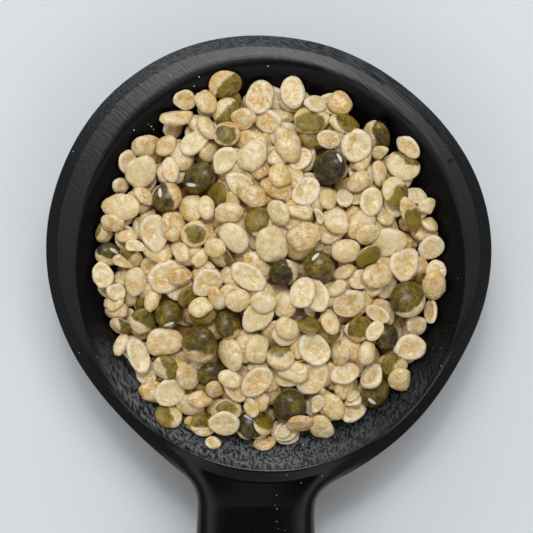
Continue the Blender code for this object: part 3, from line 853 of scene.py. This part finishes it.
def in_one_mesh(name, shapes, faces):
    """One mesh object of many shapes that share a list of faces. It rides on the dish's one body."""
    starts = len(shapes[0]) * np.arange(len(shapes))
    mesh = bpy.data.meshes.new(name)
    every = (faces[None] + starts[:, None, None]).reshape(-1, 3)
    mesh.from_pydata(np.concatenate(shapes).tolist(), [], every.tolist())
    piece = bpy.data.objects.new(name, mesh)
    bpy.context.scene.collection.objects.link(piece)
    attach(piece, "root")
    return piece


def add_values(mesh, name, values):
    """Gives each point of a mesh its number, or its three, for the materials to read."""
    three = values[0].ndim == 2
    kind, label = ("FLOAT_VECTOR", "vector") if three else ("FLOAT", "value")
    mesh.attributes.new(name, kind, "POINT").data.foreach_set(label, np.concatenate(values).ravel())


def joined(name, lentils, ball, faces, shape):
    """One mesh of all the lentils of a kind, with what the materials read of each."""
    shapes = []
    tones_and_shade = []
    spots = []
    for place, turn, size in lentils:
        local = shape(ball) * size
        shapes.append(local @ turn.T + place)
        spots.append(local + rng.uniform(-1, 1, 3))
        # Painted shade: the deeper a lentil lies, the more its tone is pulled towards amber.
        depth_shade = np.clip((heap_surface(place[0], place[1]) - place[2]) / SHADE_DEPTH, 0, 1)
        tones_and_shade.append(np.full(len(ball), rng.random() * (1 - SHADE_AMBER * depth_shade)))
    piece = in_one_mesh(name, shapes, faces)
    add_values(piece.data, "tone_and_shade", tones_and_shade)
    add_values(piece.data, "out", [np.hypot(ball[:, 0], ball[:, 1])] * len(lentils))
    add_values(piece.data, "level", [ball[:, 2]] * len(lentils))
    add_values(piece.data, "spot", spots)
    piece.data.shade_smooth()
    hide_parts("lentil_heap")
    return piece


def worn_half(ball):
    """A split lentil of its own shape, and one in five of them with a chipped side."""
    points = dented(split_shape(ball), DENT)
    return chipped(points, rng.uniform(*CHIP_PLACES)) if rng.random() < CHIPPED_SHARE else points


ball, faces = unit_ball(HALF_SIDES, HALF_ROWS)
hulled_halves = joined("hulled_halves", halves, ball, faces, worn_half)


# Hulled seed flesh: a slightly see-through cream to amber with a low sheen and shallow dents. It has soft
# chalky patches about 1 mm across, more on some lentils than on others, and fine pale specks 0.3 mm across.
# On the split face the rim is paler.
def flesh(tree):
    """Colour, roughness and relief of the bare seed."""
    spot = add_node(tree, "ShaderNodeAttribute", attribute_name="spot").outputs["Vector"]
    tone_and_shade = add_node(tree, "ShaderNodeAttribute", attribute_name="tone_and_shade").outputs["Fac"]
    out = add_node(tree, "ShaderNodeAttribute", attribute_name="out").outputs["Fac"]
    level = add_node(tree, "ShaderNodeAttribute", attribute_name="level").outputs["Fac"]
    broad = add_node(tree, "ShaderNodeTexNoise", {
        "Vector": spot, "Scale": 1 / 0.0024, "Detail": 2.0,
    }).outputs["Fac"]
    dents = add_node(tree, "ShaderNodeTexNoise", {
        "Vector": spot, "Scale": 1 / 0.0015, "Detail": 1.0, "Distortion": 0.8,
    }).outputs["Fac"]
    chalk = add_node(tree, "ShaderNodeTexNoise", {
        "Vector": spot, "Scale": 1 / 0.0012, "Detail": 5.0, "Roughness": 0.58,
    }).outputs["Fac"]
    fine = add_node(tree, "ShaderNodeTexNoise", {
        "Vector": spot, "Scale": 1 / 0.00028, "Detail": 3.0, "Roughness": 0.6,
    }).outputs["Fac"]
    # The warmth carries the painted depth shade too, so deep lentils are painted more amber.
    warmth = add_node(tree, "ShaderNodeMath", {
        0: broad, 1: 0.5, 2: tone_and_shade,
    }, operation="MULTIPLY_ADD").outputs[0]
    base = add_node(tree, "ShaderNodeValToRGB", {"Fac": warmth})
    base.color_ramp.elements[0].position = 0.20
    base.color_ramp.elements[0].color = colour("CA9D4A")
    base.color_ramp.elements[1].position = 1.0
    base.color_ramp.elements[1].color = colour("E0C484")
    middle = base.color_ramp.elements.new(0.45)
    middle.color = colour("D7B061")
    # The number that says how warm a lentil's colour is, with its painted depth shade, also says, seven
    # times over, how chalky it is.
    chalkiness = add_node(tree, "ShaderNodeMath", {0: tone_and_shade, 1: 7.0}, operation="MULTIPLY").outputs[0]
    chalkiness = add_node(tree, "ShaderNodeMath", {0: chalkiness}, operation="FRACT").outputs[0]
    chalk_level = add_node(tree, "ShaderNodeMath", {
        0: chalkiness, 1: 0.09, 2: chalk,
    }, operation="MULTIPLY_ADD").outputs[0]
    whitened = add_node(tree, "ShaderNodeMapRange", {
        "Value": chalk_level, "From Min": 0.46, "From Max": 0.66, "To Max": 0.70,
    }).outputs[0]
    chalky = add_node(tree, "ShaderNodeMix", {
        0: whitened, 6: base.outputs["Color"], 7: colour("EDDEBC"),
    }, data_type="RGBA").outputs[2]
    scuffed = add_node(tree, "ShaderNodeMapRange", {
        "Value": fine, "From Min": 0.54, "From Max": 0.64, "To Max": 0.50,
    }).outputs[0]
    scuffs = add_node(tree, "ShaderNodeMix", {
        0: scuffed, 6: chalky, 7: colour("FBF6EA"),
    }, data_type="RGBA").outputs[2]
    split = add_node(tree, "ShaderNodeMath", {0: level, 1: 0.0}, operation="LESS_THAN").outputs[0]
    edge = add_node(tree, "ShaderNodeMapRange", {
        "Value": out, "From Min": 0.62, "From Max": 0.9, "To Min": 0.0, "To Max": 0.50,
    }, interpolation_type="SMOOTHSTEP").outputs[0]
    pale = add_node(tree, "ShaderNodeMath", {0: edge, 1: split}, operation="MULTIPLY").outputs[0]
    rimmed = add_node(tree, "ShaderNodeMix", {
        0: pale, 6: scuffs, 7: colour("F1E6CD"),
    }, data_type="RGBA").outputs[2]
    rough = add_node(tree, "ShaderNodeMapRange", {
        "Value": chalk_level, "From Min": 0.45, "From Max": 0.65, "To Min": 0.19, "To Max": 0.36,
    }).outputs[0]
    relief = add_node(tree, "ShaderNodeBump", {
        "Height": dents, "Strength": 0.6, "Distance": 0.00060,
    }).outputs[0]
    relief = add_node(tree, "ShaderNodeBump", {
        "Height": chalk, "Strength": 0.35, "Distance": 0.00020, "Normal": relief,
    }).outputs[0]
    relief = add_node(tree, "ShaderNodeBump", {
        "Height": fine, "Strength": 0.40, "Distance": 0.00006, "Normal": relief,
    }).outputs[0]
    return rimmed, rough, relief


bare, tree, shader = new_material("hulled_lentil_flesh")
bare_colour, bare_rough, bare_relief = flesh(tree)
tree.links.new(bare_colour, shader.inputs["Base Color"])
tree.links.new(bare_rough, shader.inputs["Roughness"])
tree.links.new(bare_relief, shader.inputs["Normal"])
shader.inputs["IOR"].default_value = 1.5
shader.inputs["Subsurface Weight"].default_value = 0.3
shader.inputs["Subsurface Radius"].default_value = (1.0, 0.55, 0.25)
shader.inputs["Subsurface Scale"].default_value = 0.0006
hulled_halves.data.materials.append(bare)


# Broken halves
# Small pieces of the same cream seeds, which broke across when they were hulled. Each has one straight
# side, and some have two. They lie loose among the halves.
BREAK_PLACES = (0.2, 0.6)  # of the half width
SECOND_BREAK_PLACES = (0.4, 0.8)
BROKEN_TWICE_SHARE = 0.4


def broken_half(ball):
    """A piece of a split lentil, broken straight on one side or two."""
    points = chipped(dented(split_shape(ball), DENT), rng.uniform(*BREAK_PLACES))
    if rng.random() < BROKEN_TWICE_SHARE:
        points = chipped(points, rng.uniform(*SECOND_BREAK_PLACES))
    return points


broken_halves = joined("broken_halves", broken, ball, faces, broken_half)
broken_halves.data.materials.append(bare)


# Hulled whole lentils
# A few seeds lost their skin but did not split. They are rounded and chalky, with a fine groove where the
# two halves meet, and lie loose among the halves.
WHOLE_SIDES = 28
WHOLE_ROWS = 20
BOXINESS = 0.92  # below 1, a whole seed is fuller than a ball
GROOVE = 0.035
GROOVE_WIDTH = 0.08
WHOLE_DENT = 0.6  # of a half's


def hulled_whole(ball):
    """A whole seed of its own shape, with a groove along its edge."""
    full = np.abs(ball) ** BOXINESS * np.sign(ball)
    waist = 1 - GROOVE * np.exp(-(full[:, 2] / GROOVE_WIDTH) ** 2)
    return dented(full * np.stack([waist, waist, np.ones_like(waist)], axis=1), DENT * WHOLE_DENT)


whole_ball, whole_faces = unit_ball(WHOLE_SIDES, WHOLE_ROWS)
hulled_wholes = joined("hulled_wholes", wholes, whole_ball, whole_faces, hulled_whole)
hulled_wholes.data.materials.append(bare)


# Lentils in their skins
# Some seeds keep their skin, whole or in torn patches. It is a thin coat that grew on them, charcoal to
# olive, mottled and a little glossy. The scar where the seed hung in its pod is long and white.

# Seed skin: finely puckered, duller where it is more olive, with a paler edge along a tear.
skin, tree, shader = new_material("seed_skin_on_lentil")
bare_colour, bare_rough, bare_relief = flesh(tree)
spot = add_node(tree, "ShaderNodeAttribute", attribute_name="spot").outputs["Vector"]
own_olive = add_node(tree, "ShaderNodeAttribute", attribute_name="olive").outputs["Fac"]
cover = add_node(tree, "ShaderNodeAttribute", attribute_name="cover").outputs["Fac"]
scar = add_node(tree, "ShaderNodeAttribute", attribute_name="from_scar").outputs["Vector"]
ragged = add_node(tree, "ShaderNodeTexNoise", {
    "Vector": spot, "Scale": 1 / 0.0022, "Detail": 3.0, "Roughness": 0.55,
}).outputs["Fac"]
mottle = add_node(tree, "ShaderNodeTexNoise", {
    "Vector": spot, "Scale": 1 / 0.0005, "Detail": 4.0, "Roughness": 0.6,
}).outputs["Fac"]
here = add_node(tree, "ShaderNodeMath", {0: ragged, 1: 0.9, 2: cover}, operation="MULTIPLY_ADD").outputs[0]
skinned_part = add_node(tree, "ShaderNodeMapRange", {
    "Value": here, "From Min": 0.44, "From Max": 0.48,
}).outputs[0]
torn_edge = add_node(tree, "ShaderNodeMapRange", {
    "Value": here, "From Min": 0.46, "From Max": 0.56, "To Min": 0.75, "To Max": 0.0,
}).outputs[0]
broad = add_node(tree, "ShaderNodeTexNoise", {
    "Vector": spot, "Scale": 1 / 0.0018, "Detail": 3.0, "Roughness": 0.65,
}).outputs["Fac"]
olive = add_node(tree, "ShaderNodeMath", {
    0: mottle, 1: 1.5, 2: own_olive,
}, operation="MULTIPLY_ADD").outputs[0]
olive = add_node(tree, "ShaderNodeMath", {
    0: broad, 1: 2.2, 2: olive,
}, operation="MULTIPLY_ADD").outputs[0]
olive = add_node(tree, "ShaderNodeMapRange", {
    "Value": olive, "From Min": 1.65, "From Max": 2.65,
}).outputs[0]
hide = add_node(tree, "ShaderNodeValToRGB", {"Fac": olive})
hide.color_ramp.elements[0].position = 0.0
hide.color_ramp.elements[0].color = colour("2F2A20")
hide.color_ramp.elements[1].position = 1.0
hide.color_ramp.elements[1].color = colour("8E7828")
middle = hide.color_ramp.elements.new(0.5)
middle.color = colour("5C4C16")
torn = add_node(tree, "ShaderNodeMix", {
    0: torn_edge, 6: hide.outputs["Color"], 7: colour("CDBE94"),
}, data_type="RGBA").outputs[2]
both = add_node(tree, "ShaderNodeMix", {
    0: skinned_part, 6: bare_colour, 7: torn,
}, data_type="RGBA").outputs[2]
scar_away = add_node(tree, "ShaderNodeVectorMath", {0: scar}, operation="LENGTH").outputs["Value"]
scar_part = add_node(tree, "ShaderNodeMapRange", {
    "Value": scar_away, "From Min": 0.85, "From Max": 1.05, "To Min": 1.0, "To Max": 0.0,
}).outputs[0]
scarred = add_node(tree, "ShaderNodeMix", {
    0: scar_part, 6: both, 7: colour("DEDBD1"),
}, data_type="RGBA").outputs[2]
tree.links.new(scarred, shader.inputs["Base Color"])
skin_gloss = add_node(tree, "ShaderNodeMapRange", {
    "Value": own_olive, "From Min": 0.3, "From Max": 0.7, "To Min": 0.27, "To Max": 0.42,
}).outputs[0]
gloss = add_node(tree, "ShaderNodeMix", {0: skinned_part, 2: 0.45, 3: skin_gloss}).outputs[0]
tree.links.new(gloss, shader.inputs["Roughness"])
shell = add_node(tree, "ShaderNodeMath", {0: skinned_part, 1: scar_part}, operation="ADD").outputs[0]
plain = add_node(tree, "ShaderNodeNewGeometry").outputs["Normal"]
puckered = add_node(tree, "ShaderNodeBump", {
    "Height": mottle, "Strength": 0.35, "Distance": 0.00008, "Normal": plain,
}).outputs[0]
smoothed = add_node(tree, "ShaderNodeMix", {
    0: skinned_part, 4: bare_relief, 5: puckered,
}, data_type="VECTOR").outputs[1]
skin_relief = add_node(tree, "ShaderNodeBump", {
    "Height": shell, "Strength": 0.7, "Distance": 0.00012, "Normal": smoothed,
}).outputs[0]
tree.links.new(skin_relief, shader.inputs["Normal"])
shader.inputs["IOR"].default_value = 1.5
shader.inputs["Specular IOR Level"].default_value = 0.38

SKIN_SIDES = 32
SKIN_ROWS = 20
SKIN_RISE = 0.25  # how far up the side that has the skin lies
SKIN_REACH = 0.8  # how fast it thins away from that side
SKIN_ENDS = -0.05  # none lies on a split face, below this level
NO_SKIN = -2.0  # so little that none shows
OLIVE_HALF = (0.45, 0.80)
OLIVE_WHOLE = (-0.05, 0.40)
SCAR_HALVES = np.array((0.00095, 0.00032, 0.00060))  # half its length, width and depth
SCAR_RISE = 1.1  # how far up the side with the scar lies
SCAR_LINE = (0.3, 0.2, 1.0)  # the scar lies square to this
NO_SCAR = 9.0  # so far off that none shows
SKINNED_DENT = 0.5  # of a bare half's, as the skin has kept it from denting much
SKINNED_WAVINESS = 0.7
DARK_DENT = 0.2  # the same for a whole seed, which is round and smooth
DARK_WAVINESS = 0.4


def side_of(lentil_turn, degrees, rise):
    """A direction in the lentil's own frame: this way in plan, and up by this much."""
    if degrees is None:
        return lentil_turn.T @ (0, 0, 1)
    side = np.array((math.cos(math.radians(degrees)), math.sin(math.radians(degrees)), rise))
    return lentil_turn.T @ (side / np.linalg.norm(side))


def add_skin(piece, lentils, ball, rows, split):
    """Gives each lentil its cover of skin, thickest towards one side, and the place of its scar."""
    covers = []
    scars = []
    olives = []
    for (_, turn, size), (*_, cover, side, scar) in zip(lentils, rows):
        skin_depth = ball @ side_of(turn, side, SKIN_RISE) * SKIN_REACH + cover * SKIN_REACH
        covers.append(np.where(ball[:, 2] < SKIN_ENDS, NO_SKIN, skin_depth) if split else skin_depth)
        olives.append(np.full(len(ball), rng.uniform(*(OLIVE_HALF if split else OLIVE_WHOLE))))
        if scar is None:
            scars.append(np.full((len(ball), 3), NO_SCAR))
            continue
        centre = side_of(turn, scar, SCAR_RISE)
        along = np.cross(centre, SCAR_LINE)
        along /= np.linalg.norm(along)
        scar_frame = np.stack([along, np.cross(centre, along), centre])
        scars.append((ball - centre) * size @ scar_frame.T / SCAR_HALVES)
    add_values(piece.data, "cover", covers)
    add_values(piece.data, "olive", olives)
    add_values(piece.data, "from_scar", scars)
    piece.data.materials.append(skin)


def smooth_half(ball):
    """A split lentil that has kept its skin."""
    return dented(split_shape(ball), DENT * SKINNED_DENT, waviness=SKINNED_WAVINESS)


def smooth_whole(ball):
    """A whole seed in its skin."""
    return dented(ball, DENT * DARK_DENT, waviness=DARK_WAVINESS)


skin_ball, skin_faces = unit_ball(SKIN_SIDES, SKIN_ROWS)
skinned_halves = joined("skinned_halves", skinned, skin_ball, skin_faces, smooth_half)
add_skin(skinned_halves, skinned, skin_ball, [(*row, None) for row in TUCKED + SKINNED_HALF], split=True)
dark_wholes = joined("whole_lentils_in_skin", dark, skin_ball, skin_faces, smooth_whole)
add_skin(dark_wholes, dark, skin_ball, DARK_WHOLE, split=False)


# Crumbs and dust
# Hulling leaves chips and flour of the seed, from 0.05 to 0.3 mm across. They lie on the dish about where
# the photograph shows them, most of them on the lower right of the rim and on the neck.
CRUMBS = (
    (134, 130, 0.35), (170.5, 75.4, 0.30), (268, 66, 0.35), (441, 366, 0.30), (79, 353, 0.25),
    (72.5, 151, 0.25), (151, 126, 0.40), (153, 129, 0.25), (148, 124, 0.20), (199, 77, 0.35),
    (194, 86, 0.30), (389, 135, 0.30), (276.5, 495.4, 0.20), (275, 505, 0.15), (277, 509, 0.25),
    (276.7, 521.6, 0.20), (278.5, 528.6, 0.15), (285, 530.6, 0.15), (301, 483, 0.20), (287, 475, 0.20),
    (322, 476, 0.20), (303.5, 445.5, 0.30),
)  # pixels of the photograph, and millimetres across
DUSTED = (
    (455, 330, 22, 22), (430, 390, 22, 22), (370, 430, 26, 20), (420, 120, 14, 6), (120, 390, 26, 10),
)  # pixels of the photograph, how far the grains stray, in pixels, and how many they are
CRUMB_SIZE = 0.8  # of the bright spot that it makes
GRAIN_SIZES = (0.05, 0.11)  # millimetres
CORNERS = (0.65, 1.1)  # how far its corners stick out, of half its size
FLATNESS = 0.7  # its height, of its width
LYING = 0.25  # how far over the dish a crumb's middle lies, of its size
LOWEST = 0.004  # what lies lower than this is on the table, and is left out
bm = bmesh.new()
bmesh.ops.create_icosphere(bm, subdivisions=1, radius=1.0)
crumb_points, crumb_faces = as_arrays(bm)
grains = [(*over(across, down), size * CRUMB_SIZE * MM) for across, down, size in CRUMBS]
for across, down, spread, count in DUSTED:
    for _ in range(count):
        x, y = over(across + rng.normal(0, spread), down + rng.normal(0, spread))
        grains.append((x, y, rng.uniform(*GRAIN_SIZES) * MM))
crumb_shapes = []
for x, y, size in grains:
    rough_shape = crumb_points * rng.uniform(*CORNERS, (len(crumb_points), 1)) * (1, 1, FLATNESS)
    spun = turned(np.array([[0.0, 0.0, rng.uniform(0, 2 * math.pi)]]), False)[0]
    crumb_shapes.append(rough_shape * size / 2 @ spun.T + (x, y, height_under(x, y) + size * LYING))
on_dish = [shape for shape in crumb_shapes if shape[:, 2].min() > LOWEST]
crumbs = in_one_mesh("crumbs_and_dust", on_dish, crumb_faces)
# Seed flour: dry, matt and nearly white, a little uneven from grain to grain.
flour, tree, shader = new_material("seed_flour")
place = add_node(tree, "ShaderNodeTexCoord").outputs["Object"]
uneven = add_node(tree, "ShaderNodeTexNoise", {"Vector": place, "Scale": 1 / 0.0004}).outputs["Fac"]
tint = add_node(tree, "ShaderNodeMix", {
    0: uneven, 6: colour("B9AE98"), 7: colour("DED6C4"),
}, data_type="RGBA")
tree.links.new(tint.outputs[2], shader.inputs["Base Color"])
shader.inputs["Roughness"].default_value = 0.85
crumbs.data.materials.append(flour)
